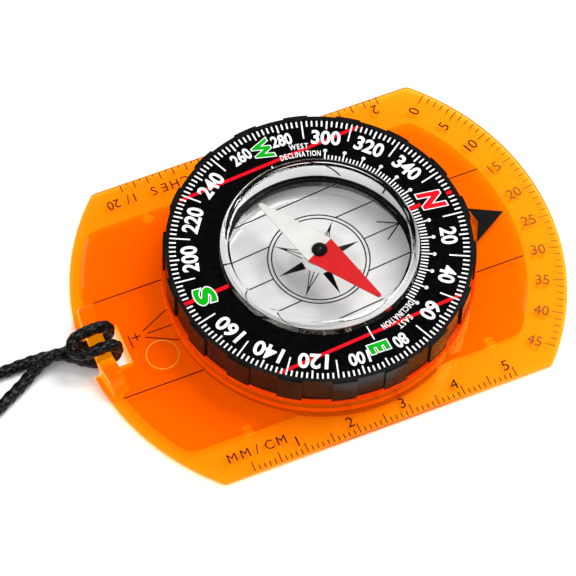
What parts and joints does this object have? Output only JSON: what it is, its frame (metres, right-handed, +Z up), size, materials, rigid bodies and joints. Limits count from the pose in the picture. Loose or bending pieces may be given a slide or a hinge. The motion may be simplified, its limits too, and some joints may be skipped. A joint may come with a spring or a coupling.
{
  "type": "baseplate compass",
  "caption": "Map compass: translucent orange scale plate, turning black bezel, clear liquid capsule with red and white needle, neck cord.",
  "frame": {"origin": "on the bezel's axis, at the level the feet rest on", "axes": "+Z up out of the capsule, +Y the direction of travel, +X towards the centimetre scale"},
  "size_m": [0.0704, 0.1399, 0.0144],
  "materials": {
    "orange_acrylic": "fluorescent translucent acrylic, polished",
    "clear_silicone": "soft clear silicone",
    "white_acetal": "moulded, satin",
    "black_plastic": "moulded, glossy",
    "dial_print": "printed, satin",
    "clear_acrylic": "clear, polished",
    "black_rubber": "satin",
    "brass": "turned",
    "pin_steel": "ground",
    "cream_plastic": "moulded, satin",
    "magnet_alloy": "plated",
    "needle_red": "painted, satin",
    "needle_white": "painted, satin",
    "jewel": "polished",
    "black_cord": "braided polyester",
    "tie_rubber": "satin"
  },
  "bodies": {
    "baseplate": {"base_plate": "orange_acrylic", "foot_pad_1": "clear_silicone", "foot_pad_2": "clear_silicone", "foot_pad_3": "clear_silicone", "foot_pad_4": "clear_silicone", "friction_ring": "white_acetal", "lanyard_left": "black_cord", "lanyard_right": "black_cord", "lanyard_coil": "black_cord", "lanyard_knot": "black_cord", "lanyard_tie": "tie_rubber"},
    "bezel": {"bezel_ring": "black_plastic", "dial_face": "dial_print", "retaining_ring": "white_acetal"},
    "capsule": {"capsule_cup": "clear_acrylic", "filling_plug": "clear_acrylic", "capsule_lens": "clear_acrylic", "declination_o_ring": "black_rubber", "pivot_seat": "brass", "pivot_pin": "pin_steel"},
    "needle": {"needle_hub": "cream_plastic", "needle_magnet": "magnet_alloy", "needle_north": "needle_red", "needle_south": "needle_white", "jewel_bearing": "jewel", "hub_cap": "black_plastic"}
  },
  "joints": [
    {"name": "bezel_turn", "type": "hinge", "parent": "baseplate", "child": "bezel", "pos_m": [0, 0, 0.0065], "axis": [0, 0, 1], "continuous": true},
    {"name": "declination_turn", "type": "hinge", "parent": "bezel", "child": "capsule", "pos_m": [0, 0, 0.009], "axis": [0, 0, 1], "range_deg": [-61, 59]},
    {"name": "needle_swing", "type": "hinge", "parent": "capsule", "child": "needle", "pos_m": [0, 0, 0.0098], "axis": [0, 0, 1], "continuous": true}
  ]
}
